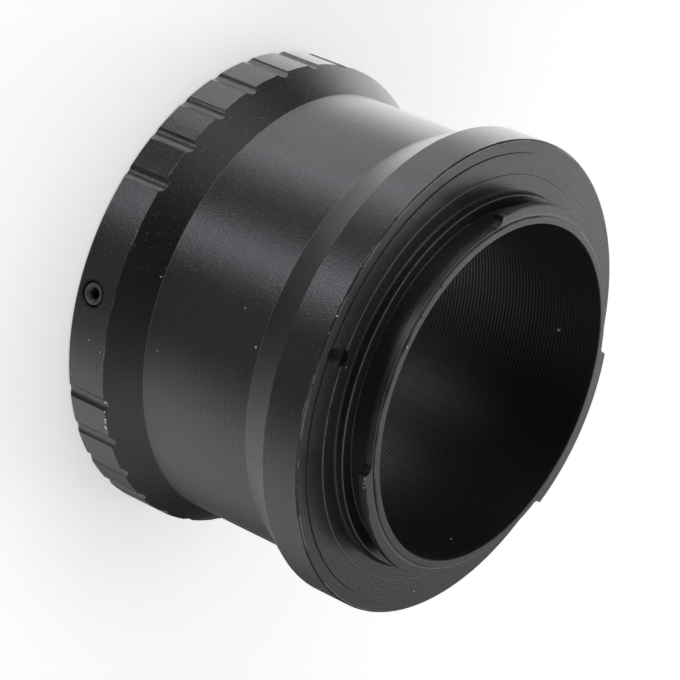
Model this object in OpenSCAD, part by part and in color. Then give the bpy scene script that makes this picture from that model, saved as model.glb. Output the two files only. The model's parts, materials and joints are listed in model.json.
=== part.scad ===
// Lens thread to camera bayonet adapter: a one-piece turned barrel with a grip ring, a slim waist and a
// bayonet flange, and a threaded ring held in its far end by three set screws.
// The barrel stands on the thread end. +Z is the optical axis, towards the camera, and z = 0 is the end
// face. The lock slot of the bayonet lies on -Y, and all angles are counted from +X, seen from the camera.

/* [Barrel] */
// Length from the thread end face to the camera seat
barrel_l = 37; // [34:0.5:45]
// Diameter of the grip ring and of the flange
outer_d = 61.2; // [59:0.2:74]
// How far the waist lies below them
waist_deep = 2.65; // [1.5:0.05:3]
// Width of the small bevels that break the outer edges
edge_break = 0.2; // [0.1:0.05:0.4]

/* [Grip ring] */
// Length of the grip ring
grip_l = 5.85; // [5:0.05:7.5]
// Length of the steep cone from the grip ring down to the waist
grip_cone_l = 4.2; // [3:0.1:6]
// Groups of grip grooves, one between each two plain stretches
grip_groups = 3; // [2:1:4]
// Grooves in a group
grip_grooves = 7; // [4:1:7]
// Groove places left plain between two groups
grip_skipped = 4; // [3:1:6]
// Width of a groove at the surface
groove_w = 1.9; // [1.2:0.1:2.6]
// Depth of a groove
groove_deep = 0.36; // [0.2:0.02:0.6]
// Angle of the middle of the first plain stretch
grip_angle = -83; // [-180:0.5:180]

/* [Flange] */
// Length of the plain cylinder of the flange
flange_l = 5.2; // [4.2:0.1:7]
// Length of the cone from the waist up to the flange
flange_cone_l = 5; // [3:0.1:7]
// Outer diameter of the camera seat
seat_d = 52.4; // [51:0.1:53]
// Height of the seat over the ledge outside it
seat_step = 0.1; // [0.05:0.05:0.3]
// Outer diameter of the ledge
ledge_d = 57.8; // [57:0.1:58.4]
// Height of the ledge over the band outside it
ledge_step = 0.15; // [0.1:0.05:0.4]

/* [Bayonet] */
// Diameter of the centring step round the collar
step_d = 48.2; // [47.8:0.1:50]
// Height of the centring step over the seat
step_h = 1.15; // [0.6:0.05:1.8]
// Diameter of the collar
collar_d = 45.6; // [45:0.1:46.2]
// Height of the collar over the seat
collar_h = 4.85; // [4.7:0.05:6.5]
// How far the rim in front of the tabs lies below the collar
rim_deep = 0.25; // [0.05:0.05:0.3]
// How far the channel behind the tabs lies below the collar
channel_deep = 0.25; // [0.1:0.05:0.4]
// Diameter over the tabs
tab_d = 47.9; // [47.2:0.1:49]
// Height of the back of the tabs over the seat
tab_back = 3.4; // [3:0.05:3.5]
// Thickness of the tabs
tab_t = 1.2; // [0.8:0.05:1.2]
// Angles of the middles of the tabs
tab_angles = [-34.8, 83.1, -173.3];
// Widths of the tabs in degrees
tab_widths = [48, 51, 44];
// Diameter of the end mill that cuts the gaps between the tabs
gap_mill_d = 2.4; // [1.6:0.1:3]
// Width of the bevels on the edges of the step, the tabs and the rim
fine_break = 0.12; // [0.05:0.01:0.2]
// Radius in the corner at the foot of the centring step
step_fillet = 0.3; // [0.1:0.05:0.5]
// Radius in the corner at the foot of the collar
collar_fillet = 0.15; // [0.1:0.05:0.4]

/* [Lock slot] */
// Width of the slot for the lock pin
slot_w = 2.2; // [1.6:0.1:2.6]
// Length of the slot, along the radius
slot_l = 3.75; // [3:0.05:3.8]
// Distance from the axis to the middle of the slot
slot_r = 27.4; // [27:0.1:27.8]
// Depth of the slot below the seat
slot_deep = 3; // [2:0.1:4]

/* [Light path] */
// Diameter of the bore behind the camera end
bore_d = 43.2; // [42.8:0.1:44]
// Length over which that bore is straight
bore_l = 8; // [6:0.5:12]
// Diameter of the bore where it meets the threaded ring
throat_d = 42.4; // [42.2:0.1:43]
// Width of the bevel inside the camera end of the collar
lip_bevel = 0.1; // [0.05:0.05:0.5]

/* [Threaded ring] */
// Nominal diameter of the lens thread
thread_d = 42; // [38:0.5:43]
// Pitch of the lens thread
thread_pitch = 0.75; // [0.5:0.25:1]
// Wall from the crests of the thread to the outside of the ring
ring_wall = 4.35; // [3.5:0.05:4.7]
// Length of the ring
ring_l = 5; // [4:0.1:6.5]
// Running gap round the ring and behind it
ring_gap = 0.05; // [0.03:0.01:0.1]
// Bevel at both mouths of the thread
thread_bevel = 0.5; // [0.3:0.05:0.8]

/* [Set screws] */
// Set screws round the grip ring, one to each plain stretch where there are three
screw_count = 3; // [2:1:4]
// Thread diameter of the set screws
screw_d = 3; // [2:0.5:4]
// Height of the screws over the thread end face
screw_z = 2.45; // [2.2:0.05:3]
// Angle of the first screw
screw_angle = -81.2; // [-180:0.1:180]
// How far the socket end lies below the surface of the grip ring
screw_sink = 0.15; // [0.1:0.05:0.8]
// Running gap between a screw and its hole
screw_gap = 0.04; // [0.02:0.01:0.08]
// Depth of the vee groove in the threaded ring that takes the screw points
vee_deep = 0.6; // [0.4:0.05:0.9]
// Distance across the flats of the hexagon socket
socket_af = 1.5; // [0.9:0.1:2]
// Depth of the hexagon socket
socket_deep = 2; // [1:0.1:2.5]
// Width of the cone at the mouth of the socket
socket_mouth = 0.2; // [0.1:0.05:0.3]

/* [Hidden] */
$fn = 112;

// Radii and heights that follow from the sizes above
outer_r = outer_d / 2;
waist_r = outer_r - waist_deep;
seat_z = barrel_l;
ledge_z = seat_z - seat_step;
band_z = ledge_z - ledge_step;
flange_z = band_z - flange_l;
waist_top_z = flange_z - flange_cone_l;
waist_low_z = grip_l + grip_cone_l;
step_z = seat_z + step_h;
collar_r = collar_d / 2;
rim_r = collar_r - rim_deep;
rim_z = seat_z + collar_h;
channel_r = collar_r - channel_deep;
tab_r = tab_d / 2;
tab_z = seat_z + tab_back;
tab_top_z = tab_z + tab_t;
bore_r = bore_d / 2;
throat_r = throat_d / 2;

// A 60 degree thread keeps five eighths of its sharp depth, which is 0.866 of the pitch
crest_r = (thread_d - 1.0825 * thread_pitch) / 2;
ring_r = crest_r + ring_wall;
pocket_r = ring_r + ring_gap;
pocket_z = ring_l + ring_gap;

// The screw points are cones of 90 degrees, with a small flat that stays clear of the bottom of the vee
point_r = 0.3;
point_gap = 0.04;
screw_r = screw_d / 2;
screw_bevel = 0.2;
screw_tip_r = ring_r - vee_deep + point_r + point_gap;
screw_end_r = outer_r - screw_sink;
screw_hole_r = screw_r + screw_gap;
countersink_w = 0.16;

// The grip grooves are cut by a round cutter whose axis lies along the barrel
groove_r = (pow(groove_w / 2, 2) + pow(groove_deep, 2)) / (2 * groove_deep);
groove_step = 360 / (grip_groups * (grip_grooves + grip_skipped));
groove_low = (grip_skipped + 1) / 2;

// The end mill dips a hair into the collar beside each tab, so that no ridge is left there
mill_dip = 0.03;

// The cutters and cuts run a little past the surfaces they open
past = 1;

// A solid of revolution about the optical axis
module turned(outline) {
    rotate_extrude() polygon(outline);
}

// A band of the turned ring between two angles, as wide as the outline
module sector(outline, from, to) {
    rotate([0, 0, from]) rotate_extrude(angle = to - from) polygon(outline);
}

// The round inside corner that the tool leaves at the foot of a wall of radius r that stands on height z
function corner(r, z, fillet) =
    [for (i = [0 : 4]) [r + fillet * (1 - sin(i * 22.5)), z + fillet * (1 - cos(i * 22.5))]];

// What the lathe leaves of the barrel: the outside from the thread end up, with a full ring where the tabs
// will be, and then the bore back down
module barrel_turning() {
    turned([
        [pocket_r, 0],
        [outer_r - edge_break, 0],
        [outer_r, edge_break],
        [outer_r, grip_l],
        [waist_r, waist_low_z],
        [waist_r, waist_top_z],
        [outer_r, flange_z],
        [outer_r, band_z - edge_break],
        [outer_r - edge_break, band_z],
        [ledge_d / 2, band_z],
        [ledge_d / 2, ledge_z],
        [seat_d / 2 + seat_step, ledge_z],
        [seat_d / 2, seat_z],
        each corner(step_d / 2, seat_z, step_fillet),
        [step_d / 2, step_z - fine_break],
        [step_d / 2 - fine_break, step_z],
        each corner(channel_r, step_z, collar_fillet),
        [channel_r, tab_z],
        [tab_r - fine_break, tab_z],
        [tab_r, tab_z + fine_break],
        [tab_r, tab_top_z - fine_break],
        [tab_r - fine_break, tab_top_z],
        [rim_r, tab_top_z],
        [rim_r, rim_z - fine_break],
        [rim_r - fine_break, rim_z],
        [bore_r + lip_bevel, rim_z],
        [bore_r, rim_z - lip_bevel],
        [bore_r, rim_z - bore_l],
        [throat_r, pocket_z],
        [pocket_r, pocket_z]
    ]);
}

// One milled gap in the tab ring, with the round corners that the end mill leaves beside the tabs
module tab_gap(from, to) {
    mill_r = gap_mill_d / 2;
    path_r = collar_r + mill_r - mill_dip;
    lean = asin(mill_r / path_r);
    low_z = tab_z - past / 2;
    high_z = tab_top_z + past;
    sector([[collar_r, low_z], [tab_r + past, low_z], [tab_r + past, high_z], [collar_r, high_z]],
           from + lean, to - lean);
    for (angle = [from + lean, to - lean])
        rotate([0, 0, angle])
            translate([path_r, 0, low_z])
                cylinder(r = mill_r, h = high_z - low_z, $fn = 36);
}

// The gaps all round, each from the end of one tab to the start of the next
module tab_gaps() {
    count = len(tab_angles);
    for (i = [0 : count - 1]) {
        next = (i + 1) % count;
        from = tab_angles[i] + tab_widths[i] / 2;
        turn = tab_angles[next] - tab_widths[next] / 2 - from;
        tab_gap(from, from + (turn < 0 ? turn + 360 : turn));
    }
}

// One grip groove, which runs out through the steep cone
module grip_groove() {
    translate([outer_r - groove_deep + groove_r, 0, -past])
        cylinder(r = groove_r, h = grip_l + grip_cone_l + past, $fn = 36);
}

// All grip grooves, in groups with a plain stretch between them
module grip_pattern() {
    per_group = grip_grooves + grip_skipped;
    for (group = [0 : grip_groups - 1], place = [0 : grip_grooves - 1])
        rotate([0, 0, grip_angle + (group * per_group + place + groove_low) * groove_step])
            grip_groove();
}

// The slot for the lock pin, with round ends
module lock_slot() {
    half = (slot_l - slot_w) / 2;
    translate([0, -slot_r, seat_z - slot_deep]) {
        for (side = [-1, 1])
            translate([0, side * half, 0]) cylinder(d = slot_w, h = slot_deep + past, $fn = 36);
        translate([-slot_w / 2, -half, 0]) cube([slot_w, 2 * half, slot_deep + past]);
    }
}

// Puts its children at the place of a set screw, with their own +Z pointing outwards from the axis
module at_screw(number) {
    rotate([0, 0, screw_angle + number * 360 / screw_count])
        translate([0, 0, screw_z])
            rotate([0, 90, 0])
                children();
}

// The hole of a set screw, with a small countersink in the grip ring
module screw_hole() {
    translate([0, 0, ring_r - past])
        cylinder(r = screw_hole_r, h = outer_r - ring_r + 2 * past, $fn = 36);
    translate([0, 0, outer_r - 2 * countersink_w])
        cylinder(r1 = screw_hole_r, r2 = screw_hole_r + countersink_w + past / 2,
                 h = 2 * countersink_w + past, $fn = 36);
}

// The barrel: turned, then milled and drilled
module barrel() {
    color([0.07, 0.07, 0.075])
        difference() {
            barrel_turning();
            tab_gaps();
            grip_pattern();
            lock_slot();
            for (i = [0 : screw_count - 1]) at_screw(i) screw_hole();
        }
}

// The threaded ring, with the vee groove that the screw points press into
module thread_ring() {
    color([0.1, 0.1, 0.11])
        turned([
            [crest_r + thread_bevel, 0],
            [ring_r - edge_break, 0],
            [ring_r, edge_break],
            [ring_r, screw_z - vee_deep],
            [ring_r - vee_deep, screw_z],
            [ring_r, screw_z + vee_deep],
            [ring_r, ring_l - edge_break],
            [ring_r - edge_break, ring_l],
            [crest_r + thread_bevel, ring_l],
            [crest_r, ring_l - thread_bevel],
            [crest_r, thread_bevel]
        ]);
}

// One set screw along +Z from its point to its socket end
module set_screw_form() {
    socket_r = socket_af / sqrt(3);
    difference() {
        rotate_extrude($fn = 36)
            polygon([
                [0, screw_tip_r],
                [point_r, screw_tip_r],
                [screw_r, screw_tip_r + screw_r - point_r],
                [screw_r, screw_end_r - screw_bevel],
                [screw_r - screw_bevel, screw_end_r],
                [0, screw_end_r]
            ]);
        translate([0, 0, screw_end_r - socket_deep])
            cylinder(r = socket_r, h = socket_deep + past, $fn = 6);
        translate([0, 0, screw_end_r - 2 * socket_mouth])
            cylinder(r1 = socket_r - socket_mouth, r2 = socket_r + 2 * socket_mouth,
                     h = 3 * socket_mouth, $fn = 36);
    }
}

// A set screw in its place
module set_screw(number) {
    color([0.16, 0.16, 0.17]) at_screw(number) set_screw_form();
}

barrel();
thread_ring();
set_screw(0);  // set_screw_1
set_screw(1);  // set_screw_2
set_screw(2);  // set_screw_3
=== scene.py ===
"""A lens-to-camera adapter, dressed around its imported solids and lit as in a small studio.

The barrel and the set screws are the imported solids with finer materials. The ridges of the bore and the
cut thread of the ring in the far end are made here. Every length is in metres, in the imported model's frame:
+Z is the optical axis towards the camera, and the adapter stands on its thread end at z = 0.
"""

from __future__ import annotations

import json
import logging
import math
from dataclasses import dataclass, field
from enum import Enum
from typing import Any, Callable, Iterable, Mapping, Sequence, Union

import bpy
from mathutils import Matrix, Vector

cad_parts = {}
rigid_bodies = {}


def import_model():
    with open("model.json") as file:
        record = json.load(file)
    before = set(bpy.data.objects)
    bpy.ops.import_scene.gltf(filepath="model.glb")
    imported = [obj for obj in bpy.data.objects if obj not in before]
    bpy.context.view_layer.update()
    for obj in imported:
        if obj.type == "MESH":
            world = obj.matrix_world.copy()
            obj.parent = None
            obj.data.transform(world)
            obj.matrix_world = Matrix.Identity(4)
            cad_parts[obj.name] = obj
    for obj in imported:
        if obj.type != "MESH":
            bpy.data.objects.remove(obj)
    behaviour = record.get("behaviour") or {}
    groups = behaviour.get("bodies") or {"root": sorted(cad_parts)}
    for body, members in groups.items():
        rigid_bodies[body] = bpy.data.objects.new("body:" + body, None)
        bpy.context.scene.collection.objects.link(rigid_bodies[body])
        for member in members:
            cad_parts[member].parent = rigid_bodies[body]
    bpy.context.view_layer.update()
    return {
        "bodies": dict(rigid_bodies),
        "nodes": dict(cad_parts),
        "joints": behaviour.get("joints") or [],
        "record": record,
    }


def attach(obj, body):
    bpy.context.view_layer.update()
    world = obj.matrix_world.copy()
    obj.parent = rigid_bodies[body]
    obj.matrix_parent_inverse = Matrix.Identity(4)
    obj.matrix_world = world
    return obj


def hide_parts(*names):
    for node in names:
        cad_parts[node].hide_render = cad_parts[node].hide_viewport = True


LOG = logging.getLogger("adapter")
MM = 0.001
UP_ANGLE = -148.7
EDGE_BLUR = 0.03
GRAIN_SCALE = 4300.0
PIT_SCALE = 2300.0
CLOUD_SCALE = 60.0
PATCH_SCALE = 260.0
TURNING_SCALE = 7000.0
RELIEF = 0.042 * MM
RAGGED = 0.5 * MM
SPECULAR_TINT = (0.955, 0.90, 1.0, 1.0)

Triple = tuple[float, float, float]
Shade = tuple[float, float, float, float]
Outline = list[tuple[float, float]]
Key = Union[int, str]


# Shader maths


class Wire:
    """An output socket that takes part in arithmetic: each operator adds one Math node."""

    def __init__(self, board: "Board", socket: bpy.types.NodeSocket) -> None:
        """Keeps the board that the socket belongs to.

        Args:
            board: The node tree that new nodes go to.
            socket: The output that this wire carries.
        """
        self.board = board
        self.socket = socket

    def _math(self, operation: str, *values: Any) -> "Wire":
        """Adds a Math node on the given values.

        Args:
            operation: The node's operation.
            values: Its inputs in order, as wires or numbers.

        Returns:
            The wire of the result.
        """
        return self.board.add("Math", {"operation": operation}, dict(enumerate(values)))

    def __add__(self, other: Any) -> "Wire":
        """self + other."""
        return self._math("ADD", self, other)

    def __radd__(self, other: Any) -> "Wire":
        """other + self."""
        return self._math("ADD", other, self)

    def __sub__(self, other: Any) -> "Wire":
        """self - other."""
        return self._math("SUBTRACT", self, other)

    def __rsub__(self, other: Any) -> "Wire":
        """other - self."""
        return self._math("SUBTRACT", other, self)

    def __mul__(self, other: Any) -> "Wire":
        """self * other."""
        return self._math("MULTIPLY", self, other)

    def __rmul__(self, other: Any) -> "Wire":
        """other * self."""
        return self._math("MULTIPLY", other, self)

    def __truediv__(self, other: Any) -> "Wire":
        """self / other."""
        return self._math("DIVIDE", self, other)

    def __pow__(self, other: Any) -> "Wire":
        """self to a power."""
        return self._math("POWER", self, other)

    def magnitude(self) -> "Wire":
        """The value without its sign."""
        return self._math("ABSOLUTE", self)

    def root(self) -> "Wire":
        """The square root."""
        return self._math("SQRT", self)

    def exponent(self) -> "Wire":
        """e to the power of the value."""
        return self._math("EXPONENT", self)

    def highest(self, other: Any) -> "Wire":
        """The larger of the two."""
        return self._math("MAXIMUM", self, other)

    def lowest(self, other: Any) -> "Wire":
        """The smaller of the two."""
        return self._math("MINIMUM", self, other)

    def step(self, low: float, high: float) -> "Wire":
        """Rises smoothly from 0 to 1, or falls where low is above high.

        Args:
            low: The value at which the result is 0.
            high: The value at which the result is 1.

        Returns:
            The wire of the result.
        """
        turned = low > high
        first, last = (high, low) if turned else (low, high)
        ends = (1.0, 0.0) if turned else (0.0, 1.0)
        return self.board.add(
            "MapRange",
            {"interpolation_type": "SMOOTHSTEP"},
            {"Value": self, "From Min": first, "From Max": last, "To Min": ends[0], "To Max": ends[1]},
        )

    def near(self, centre: float, width: float) -> "Wire":
        """1 at the centre, falling to 0 at a distance of width."""
        return (self - centre).magnitude().step(width, 0.0)


class Board:
    """A node tree with one way to add a node."""

    def __init__(self, tree: bpy.types.NodeTree) -> None:
        """Empties the tree.

        Args:
            tree: The node tree of a material or a world.
        """
        self.tree = tree
        tree.nodes.clear()

    def add(
        self,
        kind: str,
        settings: Mapping[str, Any] | None = None,
        inputs: Mapping[Key, Any] | None = None,
        out: Key = 0,
    ) -> Wire:
        """Adds a node, sets it up and feeds it.

        Args:
            kind: The node's type without its ShaderNode prefix.
            settings: Properties that are set first.
            inputs: Values or wires, by the name or the number of the socket.
            out: The output that the returned wire carries.

        Returns:
            The wire of the chosen output.
        """
        node = self.tree.nodes.new("ShaderNode" + kind)
        for name, value in (settings or {}).items():
            setattr(node, name, value)
        for key, value in (inputs or {}).items():
            socket = node.inputs[key]
            if isinstance(value, Wire):
                self.tree.links.new(value.socket, socket)
            else:
                socket.default_value = value
        return Wire(self, node.outputs[out]) if len(node.outputs) else Wire(self, None)

    def blend(self, factor: Any, first: Any, second: Any) -> Wire:
        """Mixes two colours.

        Args:
            factor: 0 gives the first colour and 1 the second.
            first: A colour or a wire.
            second: A colour or a wire.

        Returns:
            The wire of the mixed colour.
        """
        return self.add("Mix", {"data_type": "RGBA"}, {0: factor, 6: first, 7: second}, out=2)

    def over(self, mask: Any, below: Wire, above: Shade) -> Wire:
        """Lays a colour over another by a mask, or does nothing where the mask is a plain number.

        Args:
            mask: Where the upper colour shows.
            below: The lower colour.
            above: The upper colour.

        Returns:
            The wire of the result.
        """
        return self.blend(mask, below, above) if isinstance(mask, Wire) else below

    def dot(self, vector: Wire, direction: Union[Triple, Wire]) -> Wire:
        """The scalar product of a vector with a direction or another vector."""
        return self.add("VectorMath", {"operation": "DOT_PRODUCT"}, {0: vector, 1: direction}, out="Value")

    def noise(self, vector: Any, scale: float, detail: float = 2.0, rough: float = 0.5) -> Wire:
        """A noise between 0 and 1.

        Args:
            vector: Where it is read.
            scale: Its features to the metre.
            detail: Its octaves.
            rough: How strong the finer octaves are.

        Returns:
            The wire of the noise.
        """
        inputs = {"Vector": vector, "Scale": scale, "Detail": detail, "Roughness": rough}
        return self.add("TexNoise", {}, inputs)


def rgba(shade: float, red: float = 0.0, blue: float = 0.0) -> Shade:
    """A grey that leans to red or blue by the given shares."""
    return (shade * (1 + red), shade, shade * (1 + blue), 1.0)


def largest(values: Iterable[Any]) -> Any:
    """The largest of the given wires, or plain 0 where there is none."""
    found: Any = 0.0
    for value in values:
        if isinstance(value, Wire):
            found = found.highest(value) if isinstance(found, Wire) else value
    return found


# Finishes


@dataclass(frozen=True)
class Place:
    """A spot on the adapter in turned coordinates: radius and height in mm, angle in degrees."""

    radius: float
    height: float
    angle: float

    def point(self) -> Triple:
        """The same spot in metres."""
        turn = math.radians(self.angle)
        return (self.radius * MM * math.cos(turn), self.radius * MM * math.sin(turn), self.height * MM)


class Wear(Enum):
    """The kinds of small marks on the anodised surface."""

    CHIP = "bare metal where the black is knocked off an edge"
    PIT = "a small dark dent"
    DUST = "a pale speck on top"


@dataclass(frozen=True)
class Mark:
    """One small mark: its kind, its middle and its radius in mm."""

    wear: Wear
    place: Place
    size: float = 0.14


@dataclass(frozen=True)
class Scratch:
    """A short fine scratch between two places, with its half width in mm."""

    start: Place
    end: Place
    width: float = 0.05


@dataclass(frozen=True)
class Hole:
    """A hole across the axis whose rim is painted darker: the rim's radius, its height and its angle."""

    radius: float
    height: float
    angle: float


@dataclass(frozen=True)
class HighlitWornEdge:
    """A turned edge with a pale line along it: partly wear from handling, partly a painted edge highlight.

    The edge is a circle of the given radius and height in mm, made pale over a width in mm. The more of it is
    worn, the less it breaks up, and shine is how pale the line is.
    """

    radius: float
    height: float
    width: float = 0.1
    worn: float = 0.5
    shine: float = 0.12


@dataclass(frozen=True)
class SheenBand:
    """A paler band of a turned wall, a painted sheen that stands in for light the wall catches: its radius,
    its lowest and highest height in mm, and its shade.
    """

    radius: float
    low: float
    high: float
    shade: float


class Lathe:
    """The turned coordinates of a point on a surface, as wires."""

    def __init__(self, board: Board) -> None:
        """Reads the point and works out its radius and height in metres.

        Args:
            board: The node tree of the material.
        """
        self.board = board
        self.here = board.add("TexCoord", {}, {}, out="Object")
        split = board.add("SeparateXYZ", {}, {0: self.here}).socket.node
        along, across, self.height = (Wire(board, split.outputs[axis]) for axis in range(3))
        self.radius = (along * along + across * across).root()

    def gap(self, place: Place) -> Wire:
        """The distance from a place, in metres."""
        inputs = {0: self.here, 1: place.point()}
        return self.board.add("VectorMath", {"operation": "DISTANCE"}, inputs, out="Value")

    def edge_gap(self, edge: HighlitWornEdge) -> Wire:
        """The distance from a turned edge, in metres."""
        return ((self.radius - edge.radius * MM) ** 2.0 + (self.height - edge.height * MM) ** 2.0).root()

    def scratch_gap(self, scratch: Scratch) -> Wire:
        """The distance from the line of a scratch, in metres."""
        start, end = Vector(scratch.start.point()), Vector(scratch.end.point())
        run = end - start
        moved = self.board.add("VectorMath", {"operation": "SUBTRACT"}, {0: self.here, 1: tuple(start)})
        share = (self.board.dot(moved, tuple(run)) * (1.0 / run.length_squared)).highest(0.0).lowest(1.0)
        inputs = {0: tuple(run), "Scale": share}
        nearest = self.board.add("VectorMath", {"operation": "SCALE"}, inputs)
        return self.board.add("VectorMath", {"operation": "DISTANCE"}, {0: moved, 1: nearest}, out="Value")

    def on_sheen_band(self, band: SheenBand) -> Wire:
        """Where a painted sheen band lies."""
        foot = self.height.step((band.low - EDGE_BLUR) * MM, (band.low + EDGE_BLUR) * MM)
        head = self.height.step((band.high + EDGE_BLUR) * MM, (band.high - EDGE_BLUR) * MM)
        return self.radius.near(band.radius * MM, 0.5 * MM) * foot * head

    def lit_side(self) -> Wire:
        """1 on the side towards UP_ANGLE, where the light falls most, falling to 0 round the adapter."""
        turn = math.radians(UP_ANGLE)
        return (self.board.dot(self.here, (math.cos(turn), math.sin(turn), 0.0)) / self.radius).step(0.2, 0.9)

    def hole_gap(self, hole: Hole) -> Wire:
        """The distance from the axis of a hole, in metres, and far off on the other side of the barrel."""
        turn = math.radians(hole.angle)
        along = (math.cos(turn), math.sin(turn), 0.0)
        inputs = {0: self.here, 1: (0.0, 0.0, hole.height * MM)}
        centred = self.board.add("VectorMath", {"operation": "SUBTRACT"}, inputs)
        out = self.board.dot(centred, along)
        square = self.board.dot(centred, centred)
        return (square - out * out).highest(0.0).root() + out.step(10 * MM, 5 * MM)

    def rings(self, scale: float) -> Wire:
        """A noise that runs round the axis, as the marks of a turning tool do.

        Args:
            scale: Its features to the metre, along the radius and the height.

        Returns:
            The wire of the noise.
        """
        profile = self.board.add("CombineXYZ", {}, {0: self.radius, 1: self.height, 2: 0.0})
        return self.board.noise(profile, scale, 2.0, 0.7)


@dataclass(frozen=True)
class Anodised:
    """Bead-blasted and black anodised aluminium, with its wear and its dust, and with painted glints, painted
    edge highlights, a painted sheen and painted light in a recess.
    """

    name: str
    shade: float = 0.0167
    roughness: float = 0.31
    index: float = 1.5
    blast: float = 0.7
    sparkle: float = 1.0
    turned: float = 0.0
    edges: tuple[HighlitWornEdge, ...] = ()
    marks: tuple[Mark, ...] = ()
    scratches: tuple[Scratch, ...] = ()
    holes: tuple[Hole, ...] = ()
    painted_sheen_bands: tuple[SheenBand, ...] = ()
    # Middle of a recess whose inside is painted paler, as painted light.
    painted_light_hollow: Place | None = None

    def wear_and_edge_highlights(self, lathe: Lathe, patch: Wire) -> Any:
        """How pale the edges and scratches are at a point: the scratches and part of each edge line are wear,
        the rest of each edge line is a painted edge highlight.

        Args:
            lathe: The turned coordinates.
            patch: A slow noise that breaks the lines up.

        Returns:
            The wire of the paleness, or plain 0 where there is no edge line or scratch.
        """
        lines = []
        for edge in self.edges:
            line = lathe.edge_gap(edge).step(edge.width * MM, edge.width * 0.25 * MM)
            held = patch.step(0.72 - 0.5 * edge.worn, 0.82 - 0.5 * edge.worn)
            lines.append(line * held * edge.shine)
        for scratch in self.scratches:
            lines.append(lathe.scratch_gap(scratch).step(scratch.width * MM, 0.0) * 0.2)
        return largest(lines)

    def marked(self, lathe: Lathe, wear: Wear, wobble: Wire) -> Any:
        """Where the marks of one kind lie.

        Args:
            lathe: The turned coordinates.
            wear: The kind of mark.
            wobble: A small length that makes the outlines uneven.

        Returns:
            The wire of the mask, or plain 0 where there is no such mark.
        """
        return largest(
            (lathe.gap(mark.place) + wobble).step(mark.size * MM, mark.size * 0.6 * MM)
            for mark in self.marks
            if mark.wear is wear
        )

    def material(self) -> bpy.types.Material:
        """Builds the node material.

        Returns:
            The material.
        """
        made = bpy.data.materials.new(self.name)
        made.use_nodes = True
        board = Board(made.node_tree)
        lathe = Lathe(board)

        grain = board.noise(lathe.here, GRAIN_SCALE, 2.0, 0.6)
        pits = board.noise(lathe.here, PIT_SCALE, 2.0, 0.6)
        cloud = board.noise(lathe.here, CLOUD_SCALE, 3.0, 0.6)
        patch = board.noise(lathe.here, PATCH_SCALE, 3.0, 0.6)
        # Painted glints: pale specks in the colour that stand in for the sparkle of the blasted surface in
        # the light.
        painted_glints = board.noise(lathe.here, GRAIN_SCALE, 1.0, 0.5).step(0.62, 0.76)
        wobble = (grain - 0.5) * RAGGED

        chip = self.marked(lathe, Wear.CHIP, wobble)
        pit = self.marked(lathe, Wear.PIT, wobble)
        dust = self.marked(lathe, Wear.DUST, wobble)
        rim = largest(
            lathe.hole_gap(hole).step((hole.radius + EDGE_BLUR) * MM, (hole.radius - EDGE_BLUR) * MM)
            for hole in self.holes
        )
        dent = largest([chip, pit])

        dark, light = rgba(self.shade * 0.88, 0.07, 0.04), rgba(self.shade * 1.12, 0.10, 0.05)
        colour = board.blend(cloud.step(0.3, 0.7), dark, light)
        # Painted glints: pale specks laid on the side where the light falls most.
        colour = board.over(painted_glints * lathe.lit_side() * (0.45 * self.sparkle), colour, rgba(0.2))
        # Painted sheen: a paler band on the collar wall that stands in for light reflected there.
        for band in self.painted_sheen_bands:
            colour = board.over(lathe.on_sheen_band(band) * patch.step(0.1, 0.6), colour, rgba(band.shade))
        # Painted edge highlights with wear: pale lines along the turned edges, and the scratches.
        colour = board.over(self.wear_and_edge_highlights(lathe, patch), colour, rgba(1.0))
        # Dark pits, and darker rims round the holes.
        colour = board.over(largest([pit, rim]), colour, rgba(0.005))
        # Painted light: the inside of the recess round this place is made paler, as if lit.
        if self.painted_light_hollow is not None:
            colour = board.over(lathe.gap(self.painted_light_hollow).step(2.6 * MM, 2.2 * MM), colour, rgba(0.16))
        colour = board.over(dust, colour, rgba(0.5))
        colour = board.over(chip, colour, rgba(0.56))

        rough = self.roughness + (cloud - 0.5) * 0.08 + (grain - 0.5) * 0.16
        lift = grain * 0.75 + pits * 0.25
        if isinstance(dent, Wire):
            rough = rough + dent * 0.15
            lift = lift - dent * 1.5
        if self.turned > 0:
            lift = lift + lathe.rings(TURNING_SCALE) * self.turned
        relief = {"Strength": self.blast, "Distance": RELIEF, "Height": lift}
        bump = board.add("Bump", {}, relief, out="Normal")
        shader = board.add(
            "BsdfPrincipled",
            {},
            {
                "Base Color": colour,
                "Roughness": rough,
                "Metallic": chip,
                "Normal": bump,
                "IOR": self.index,
                "Specular Tint": SPECULAR_TINT,
            },
        )
        board.add("OutputMaterial", {}, {"Surface": shader})
        return made


# Meshes


def turned_mesh(
    name: str, outline: Callable[[float], Outline], columns: int, crisp: float = 28.0
) -> bpy.types.Object:
    """Turns a closed outline about the axis, where the outline may change with the angle.

    Args:
        name: The piece's name.
        outline: Gives the closed outline, as radii and heights in mm, for an angle in radians.
        columns: How many times the outline is repeated round the axis.
        crisp: Edges sharper than this angle in degrees stay crisp.

    Returns:
        The new object, linked to the scene.
    """
    points: list[Triple] = []
    rows = 0
    for column in range(columns):
        turn = 2 * math.pi * column / columns
        ring = outline(turn)
        rows = len(ring)
        points += [(r * MM * math.cos(turn), r * MM * math.sin(turn), z * MM) for r, z in ring]
    faces = []
    for column in range(columns):
        following = (column + 1) % columns
        for row in range(rows):
            above = (row + 1) % rows
            faces.append(
                (
                    column * rows + row,
                    following * rows + row,
                    following * rows + above,
                    column * rows + above,
                )
            )
    mesh = bpy.data.meshes.new(name)
    mesh.from_pydata(points, [], faces)
    mesh.polygons.foreach_set("use_smooth", [True] * len(mesh.polygons))
    mesh.set_sharp_from_angle(angle=math.radians(crisp))
    mesh.update()
    piece = bpy.data.objects.new(name, mesh)
    bpy.context.scene.collection.objects.link(piece)
    return piece


# Sub-assemblies


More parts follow.
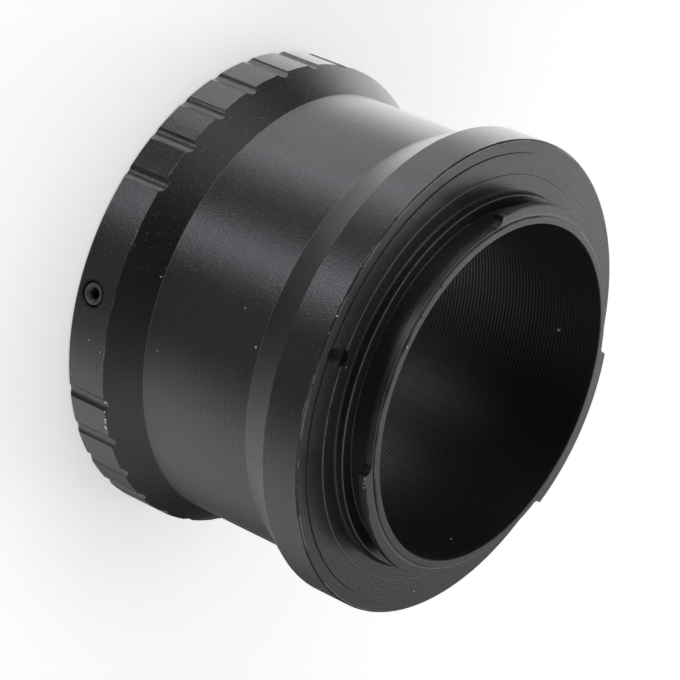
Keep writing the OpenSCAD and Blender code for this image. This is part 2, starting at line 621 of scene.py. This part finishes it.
@dataclass
class Barrel:
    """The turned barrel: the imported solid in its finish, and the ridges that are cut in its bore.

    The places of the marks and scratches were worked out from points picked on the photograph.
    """

    bore_r: float = 21.6
    throat_r: float = 21.2
    ridge_top: float = 41.6
    taper_top: float = 33.85
    ridge_low: float = 5.3
    ridge_pitch: float = 0.5
    ridge_deep: float = 0.045
    ridge_floor: float = 0.016
    backing: float = 0.3
    finish: Anodised = field(
        default_factory=lambda: Anodised(
            name="black_anodised_barrel",
            turned=0.5,
            edges=(
                HighlitWornEdge(30.6, 5.85, 0.10, 0.40, 0.12),
                HighlitWornEdge(27.95, 10.05, 0.09, 0.9, 0.07),
                HighlitWornEdge(27.95, 26.55, 0.09, 0.9, 0.07),
                HighlitWornEdge(30.6, 31.55, 0.10, 0.35, 0.12),
                HighlitWornEdge(30.6, 36.55, 0.10, 0.45, 0.12),
                HighlitWornEdge(30.4, 36.75, 0.11, 0.6, 0.18),
                HighlitWornEdge(26.2, 37.0, 0.09, 0.9, 0.13),
                HighlitWornEdge(24.0, 38.15, 0.09, 0.85, 0.13),
                HighlitWornEdge(22.5, 41.8, 0.10, 0.6, 0.10),
                HighlitWornEdge(23.9, 41.55, 0.10, 0.6, 0.14),
                HighlitWornEdge(28.9, 36.8, 0.14, 1.0, 0.03),
                HighlitWornEdge(22.8, 41.6, 0.12, 0.9, 0.05),
            ),
            marks=(
                Mark(Wear.CHIP, Place(30.3, 5.85, -56.0), 0.20),
                Mark(Wear.CHIP, Place(30.56, 5.88, -53.7), 0.16),
                Mark(Wear.CHIP, Place(30.6, 5.78, -51.4), 0.20),
                Mark(Wear.CHIP, Place(30.6, 5.72, -50.6), 0.18),
                Mark(Wear.CHIP, Place(30.6, 5.63, -49.1), 0.24),
                Mark(Wear.CHIP, Place(30.42, 36.75, -98.8), 0.21),
                Mark(Wear.CHIP, Place(30.6, 36.45, -110.7), 0.10),
                Mark(Wear.CHIP, Place(30.5, 36.65, -94.8), 0.10),
                Mark(Wear.CHIP, Place(25.2, 37.0, -87.7), 0.15),
                Mark(Wear.PIT, Place(30.5, 36.66, -110.0), 0.22),
                Mark(Wear.PIT, Place(30.6, 36.13, -100.5), 0.16),
                Mark(Wear.PIT, Place(30.38, 36.75, -83.0), 0.24),
                Mark(Wear.PIT, Place(30.5, 36.66, -123.3), 0.15),
                Mark(Wear.PIT, Place(30.5, 36.66, -134.3), 0.15),
                Mark(Wear.PIT, Place(22.44, 41.84, -120.1), 0.17),
                Mark(Wear.PIT, Place(22.44, 41.83, -109.1), 0.14),
                Mark(Wear.PIT, Place(30.6, 31.56, -99.6), 0.12),
                Mark(Wear.DUST, Place(28.16, 9.71, -90.6), 0.14),
                Mark(Wear.DUST, Place(27.95, 22.68, -91.9), 0.11),
                Mark(Wear.DUST, Place(27.95, 25.89, -84.4), 0.15),
                Mark(Wear.DUST, Place(27.95, 11.77, -72.9), 0.12),
                Mark(Wear.DUST, Place(30.6, 5.18, -68.9), 0.12),
                Mark(Wear.DUST, Place(30.6, 3.22, -70.6), 0.10),
                Mark(Wear.DUST, Place(22.55, 40.16, -109.7), 0.10),
                Mark(Wear.DUST, Place(22.30, 41.85, -99.3), 0.11),
                Mark(Wear.DUST, Place(23.94, 41.39, -57.9), 0.16),
                Mark(Wear.DUST, Place(23.94, 41.29, -56.4), 0.10),
                Mark(Wear.DUST, Place(23.94, 41.27, -54.9), 0.10),
                Mark(Wear.DUST, Place(27.29, 36.9, 3.9), 0.12),
                Mark(Wear.DUST, Place(28.17, 36.9, 13.2), 0.11),
            ),
            painted_sheen_bands=(SheenBand(22.6, 40.75, 41.85, 0.06),),
            holes=tuple(Hole(1.88, 2.45, -81.2 + 120 * number) for number in range(3)),
            painted_light_hollow=Place(27.4, 34.6, -90.0),
            scratches=(
                Scratch(Place(28.50, 9.17, -139.9), Place(28.74, 8.77, -138.9)),
                Scratch(Place(27.95, 19.80, -61.8), Place(27.95, 20.49, -60.7)),
            ),
        )
    )
    ridge_finish: Anodised = field(
        default_factory=lambda: Anodised(
            name="black_anodised_bore",
            shade=0.0095,
            roughness=0.46,
            index=1.41,
            blast=0.15,
            sparkle=0.2,
            marks=(
                Mark(Wear.DUST, Place(21.5, 35.69, 112.7), 0.21),
                Mark(Wear.DUST, Place(21.5, 38.08, 23.2), 0.16),
                Mark(Wear.DUST, Place(21.5, 39.45, 2.8), 0.18),
            ),
        )
    )

    def wall(self, height: float) -> float:
        """The radius of the plain bore at a height, in mm."""
        if height >= self.taper_top:
            return self.bore_r
        share = (self.taper_top - height) / (self.taper_top - 5.05)
        return self.bore_r + (self.throat_r - self.bore_r) * share

    def ridges(self) -> bpy.types.Object:
        """Makes the sleeve of fine ridges that lies on the wall of the bore.

        Its floor stands a little off the wall. Where the bore slopes, the wall's flat facets sag more than
        that, so their middles still come through the floor, by up to 0.003 mm.

        Returns:
            The sleeve.
        """
        count = int((self.ridge_top - self.ridge_low) / self.ridge_pitch)
        inner: Outline = [(self.wall(self.ridge_low) + self.backing, self.ridge_low)]
        for number in range(count):
            low = self.ridge_low + number * self.ridge_pitch
            for share, deep in ((0.0, 0.0), (0.1, 0.0), (0.5, 1.0), (0.6, 1.0)):
                height = low + share * self.ridge_pitch
                inner.append((self.wall(height) - self.ridge_floor - self.ridge_deep * deep, height))
        top = self.ridge_low + count * self.ridge_pitch
        inner.append((self.wall(top) - self.ridge_floor, top))
        inner.append((self.wall(top) + self.backing, top))
        return turned_mesh("bore_ridges", lambda turn: inner, 200, crisp=20.0)

    def build(self, frame: dict[str, Any]) -> list[bpy.types.Object]:
        """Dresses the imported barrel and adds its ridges.

        Args:
            frame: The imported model.

        Returns:
            The pieces.
        """
        solid = frame["nodes"]["barrel"]
        dress(solid, self.finish.material())
        sleeve = self.ridges()
        dress(sleeve, self.ridge_finish.material())
        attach(sleeve, "barrel")
        return [solid, sleeve]


@dataclass
class ThreadRing:
    """The ring in the far end, with its thread cut in."""

    crest_r: float = 20.594
    root_r: float = 21.0
    outer_r: float = 24.944
    length: float = 5.0
    pitch: float = 0.75
    bevel: float = 0.5
    edge: float = 0.2
    vee_deep: float = 0.6
    vee_z: float = 2.45
    rows: int = 80
    finish: Anodised = field(
        default_factory=lambda: Anodised(name="black_anodised_ring", blast=0.3, sparkle=0.3, turned=0.6)
    )

    def bore(self, turn: float, height: float) -> float:
        """The radius of the threaded bore at one spot.

        Args:
            turn: The angle about the axis in radians.
            height: The height in mm.

        Returns:
            The radius in mm.
        """
        phase = (height - self.pitch * turn / (2 * math.pi)) % self.pitch
        off = min(phase, self.pitch - phase)
        flank = min(max((off - self.pitch / 16) / (self.pitch * 5 / 16), 0.0), 1.0)
        thread = self.root_r + (self.crest_r - self.root_r) * flank
        mouth = self.crest_r + self.bevel - min(height, self.length - height)
        return max(thread, mouth)

    def outline(self, turn: float) -> Outline:
        """The closed outline of the ring at one angle."""
        top = self.length
        outside: Outline = [
            (self.outer_r - self.edge, 0.0),
            (self.outer_r, self.edge),
            (self.outer_r, self.vee_z - self.vee_deep),
            (self.outer_r - self.vee_deep, self.vee_z),
            (self.outer_r, self.vee_z + self.vee_deep),
            (self.outer_r, top - self.edge),
            (self.outer_r - self.edge, top),
        ]
        inside = [
            (self.bore(turn, top * (1 - row / self.rows)), top * (1 - row / self.rows))
            for row in range(self.rows + 1)
        ]
        return outside + inside

    def build(self) -> bpy.types.Object:
        """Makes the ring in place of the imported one.

        Returns:
            The ring.
        """
        ring = turned_mesh("threaded_ring", self.outline, 192)
        dress(ring, self.finish.material())
        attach(ring, "thread_ring")
        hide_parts("thread_ring")
        return ring


@dataclass
class SetScrews:
    """The set screws in the grip ring."""

    count: int = 3
    height: float = 2.45
    first_angle: float = -81.2
    end_r: float = 30.45

    def material(self, number: int) -> bpy.types.Material:
        """Black steel that is worn bright round the socket, with painted light inside the socket.

        Args:
            number: The number of the screw, from 0.

        Returns:
            The material.
        """
        made = bpy.data.materials.new(f"set_screw_steel_{number + 1}")
        made.use_nodes = True
        board = Board(made.node_tree)
        turn = math.radians(self.first_angle + 360 * number / self.count)
        along = (math.cos(turn), math.sin(turn), 0.0)
        here = board.add("TexCoord", {}, {}, out="Object")
        inputs = {0: here, 1: (0.0, 0.0, self.height * MM)}
        centred = board.add("VectorMath", {"operation": "SUBTRACT"}, inputs)
        depth = board.dot(centred, along)
        square = board.dot(centred, centred)
        radius = (square - depth * depth).highest(0.0).root()
        patch = board.noise(here, 1600.0, 3.0, 0.6)
        grain = board.noise(here, 7000.0, 2.0, 0.6)
        ring = radius.step(0.95 * MM, 1.02 * MM) * radius.step(1.38 * MM, 1.30 * MM)
        face = ring * depth.step((self.end_r - 0.4) * MM, (self.end_r - 0.1) * MM)
        bright = face * (patch * 0.8 + 0.2)
        # Painted light: the inside of the socket is paler than the black steel round it.
        steel = board.blend(radius.step(0.92 * MM, 0.86 * MM), rgba(0.016, 0.03), rgba(0.09))
        colour = board.blend(bright, steel, rgba(0.22, 0.03, -0.03))
        bump = board.add("Bump", {}, {"Strength": 0.3, "Distance": 0.01 * MM, "Height": grain}, out="Normal")
        shader = board.add(
            "BsdfPrincipled",
            {},
            {
                "Base Color": colour,
                "Roughness": 0.36 + patch * 0.12,
                "Metallic": bright.step(0.2, 0.8),
                "Normal": bump,
            },
        )
        board.add("OutputMaterial", {}, {"Surface": shader})
        return made

    def build(self, frame: dict[str, Any]) -> list[bpy.types.Object]:
        """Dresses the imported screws.

        Args:
            frame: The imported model.

        Returns:
            The screws.
        """
        screws = []
        for number in range(self.count):
            screw = frame["nodes"][f"set_screw_{number + 1}"]
            dress(screw, self.material(number))
            screws.append(screw)
        return screws


def dress(piece: bpy.types.Object, material: bpy.types.Material) -> None:
    """Gives a piece one material in all its slots.

    Args:
        piece: The piece.
        material: Its new material.
    """
    if not piece.material_slots:
        piece.data.materials.append(material)
    for held in piece.material_slots:
        held.material = material


# Studio


@dataclass(frozen=True)
class Lobe:
    """A soft light of the studio as the adapter sees it: a direction, a strength and how tight it is."""

    towards: Triple
    strength: float
    tight: float


@dataclass
class Studio:
    """The pale floor, the white surroundings and the soft lights.

    The lobes were not set by hand. A least squares fit to the brightness of the photograph picked them from a
    larger set and weighed them, and all were then raised by one factor. About two thirds of their light comes
    from below the floor, which is therefore left out of the light on the adapter.
    """

    floor_size: float = 6.0
    floor_drop: float = 0.00002
    lobes: tuple[Lobe, ...] = (
        Lobe((-0.345, -0.829, -0.440), 7.61, 120.0),
        Lobe((-0.811, -0.192, -0.552), 6.43, 160.0),
        Lobe((-0.322, -0.769, -0.552), 6.07, 160.0),
        Lobe((-0.645, 0.697, -0.315), 3.00, 18.0),
        Lobe((-0.807, 0.131, -0.576), 2.95, 70.0),
        Lobe((-0.242, 0.222, 0.944), 2.34, 18.0),
        Lobe((0.622, -0.192, -0.759), 2.28, 18.0),
        Lobe((0.019, 0.887, 0.461), 2.12, 160.0),
        Lobe((-0.801, -0.344, -0.489), 2.07, 70.0),
        Lobe((-0.046, 0.921, 0.387), 1.98, 70.0),
        Lobe((-0.306, 0.522, -0.796), 1.97, 18.0),
        Lobe((0.908, -0.419, 0.019), 1.69, 18.0),
        Lobe((-0.155, 0.852, -0.500), 1.59, 18.0),
        Lobe((-0.951, -0.303, 0.056), 1.59, 18.0),
        Lobe((-0.032, 0.820, 0.571), 1.51, 160.0),
        Lobe((0.510, -0.325, 0.796), 1.40, 18.0),
        Lobe((-0.730, -0.423, 0.537), 1.26, 18.0),
        Lobe((-0.417, 0.052, -0.907), 1.21, 18.0),
        Lobe((0.192, -0.811, -0.552), 1.13, 160.0),
        Lobe((0.300, 0.391, 0.870), 0.89, 18.0),
        Lobe((0.014, 0.686, 0.728), 0.78, 70.0),
        Lobe((0.401, 0.285, -0.870), 0.72, 18.0),
        Lobe((0.970, 0.131, 0.204), 0.64, 18.0),
        Lobe((0.790, 0.216, -0.574), 0.64, 18.0),
    )

    def world(self) -> None:
        """White to the camera, and a studio of soft lights to the adapter."""
        made = bpy.data.worlds.new("studio")
        bpy.context.scene.world = made
        made.use_nodes = True
        board = Board(made.node_tree)
        direction = board.add("TexCoord", {}, {}, out="Generated")
        light: Any = 0.0
        for lobe in self.lobes:
            towards = tuple(Vector(lobe.towards).normalized())
            light = ((board.dot(direction, towards) - 1.0) * lobe.tight).exponent() * lobe.strength + light
        seen = board.add("LightPath", {}, {}, out="Is Camera Ray")
        studio = board.add("Background", {}, {"Color": rgba(1.0), "Strength": light})
        white = board.add("Background", {}, {"Color": rgba(1.0), "Strength": 1.0})
        mixed = board.add("MixShader", {}, {0: seen, 1: studio, 2: white})
        board.add("OutputWorld", {}, {"Surface": mixed})

    def floor(self) -> bpy.types.Object:
        """A pale floor that keeps the adapter's soft shadow and is seen from above only.

        Returns:
            The floor.
        """
        half, low = self.floor_size / 2, -self.floor_drop
        mesh = bpy.data.meshes.new("floor")
        square = [(-half, -half, low), (half, -half, low), (half, half, low), (-half, half, low)]
        mesh.from_pydata(square, [], [(0, 1, 2, 3)])
        floor = bpy.data.objects.new("floor", mesh)
        bpy.context.scene.collection.objects.link(floor)
        made = bpy.data.materials.new("pale_floor")
        made.use_nodes = True
        board = Board(made.node_tree)
        glow = board.add("Emission", {}, {"Color": rgba(1.0), "Strength": 0.45})
        matt = board.add("BsdfDiffuse", {}, {"Color": rgba(0.9)})
        pale = board.add("AddShader", {}, {0: glow, 1: matt})
        clear = board.add("BsdfTransparent", {}, {})
        below = board.add("NewGeometry", {}, {}, out="Backfacing")
        mixed = board.add("MixShader", {}, {0: below, 1: pale, 2: clear})
        board.add("OutputMaterial", {}, {"Surface": mixed})
        mesh.materials.append(made)
        floor.visible_glossy = False
        floor.visible_diffuse = False
        floor.visible_shadow = False
        return floor

    def build(self) -> None:
        """Sets up the world and the floor."""
        self.world()
        self.floor()
        bpy.context.scene.view_settings.view_transform = "Standard"


@dataclass
class PhotoCamera:
    """The camera of the photograph. Its place, axes and lens come from a fit to the turned edges."""

    place: Triple = (-0.04063, -0.32940, 0.23789)
    right: Triple = (-0.33610, 0.55214, 0.76301)
    up: Triple = (-0.93585, -0.10464, -0.33651)
    forward: Triple = (0.10596, 0.82716, -0.55189)
    lens: float = 168.84

    def build(self) -> bpy.types.Object:
        """Places the camera and makes it the scene's.

        Returns:
            The camera.
        """
        data = bpy.data.cameras.new("photo_camera")
        data.lens = self.lens
        data.sensor_width = 36.0
        data.clip_start = 0.01
        data.clip_end = 20.0
        camera = bpy.data.objects.new("photo_camera", data)
        bpy.context.scene.collection.objects.link(camera)
        right, up, back = Vector(self.right), Vector(self.up), -Vector(self.forward)
        turned = Matrix((right, up, back)).transposed().to_4x4()
        camera.matrix_world = Matrix.Translation(self.place) @ turned
        bpy.context.scene.camera = camera
        return camera


# Main


def main() -> None:
    """Builds the adapter and its studio."""
    logging.basicConfig(level=logging.INFO, format="%(name)s: %(message)s")
    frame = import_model()
    PhotoCamera().build()
    pieces = Barrel().build(frame)
    pieces.append(ThreadRing().build())
    pieces += SetScrews().build(frame)
    for piece in pieces:
        LOG.info("%s: %d faces", piece.name, len(piece.data.polygons))
    Studio().build()


if __name__ == "__main__":
    main()
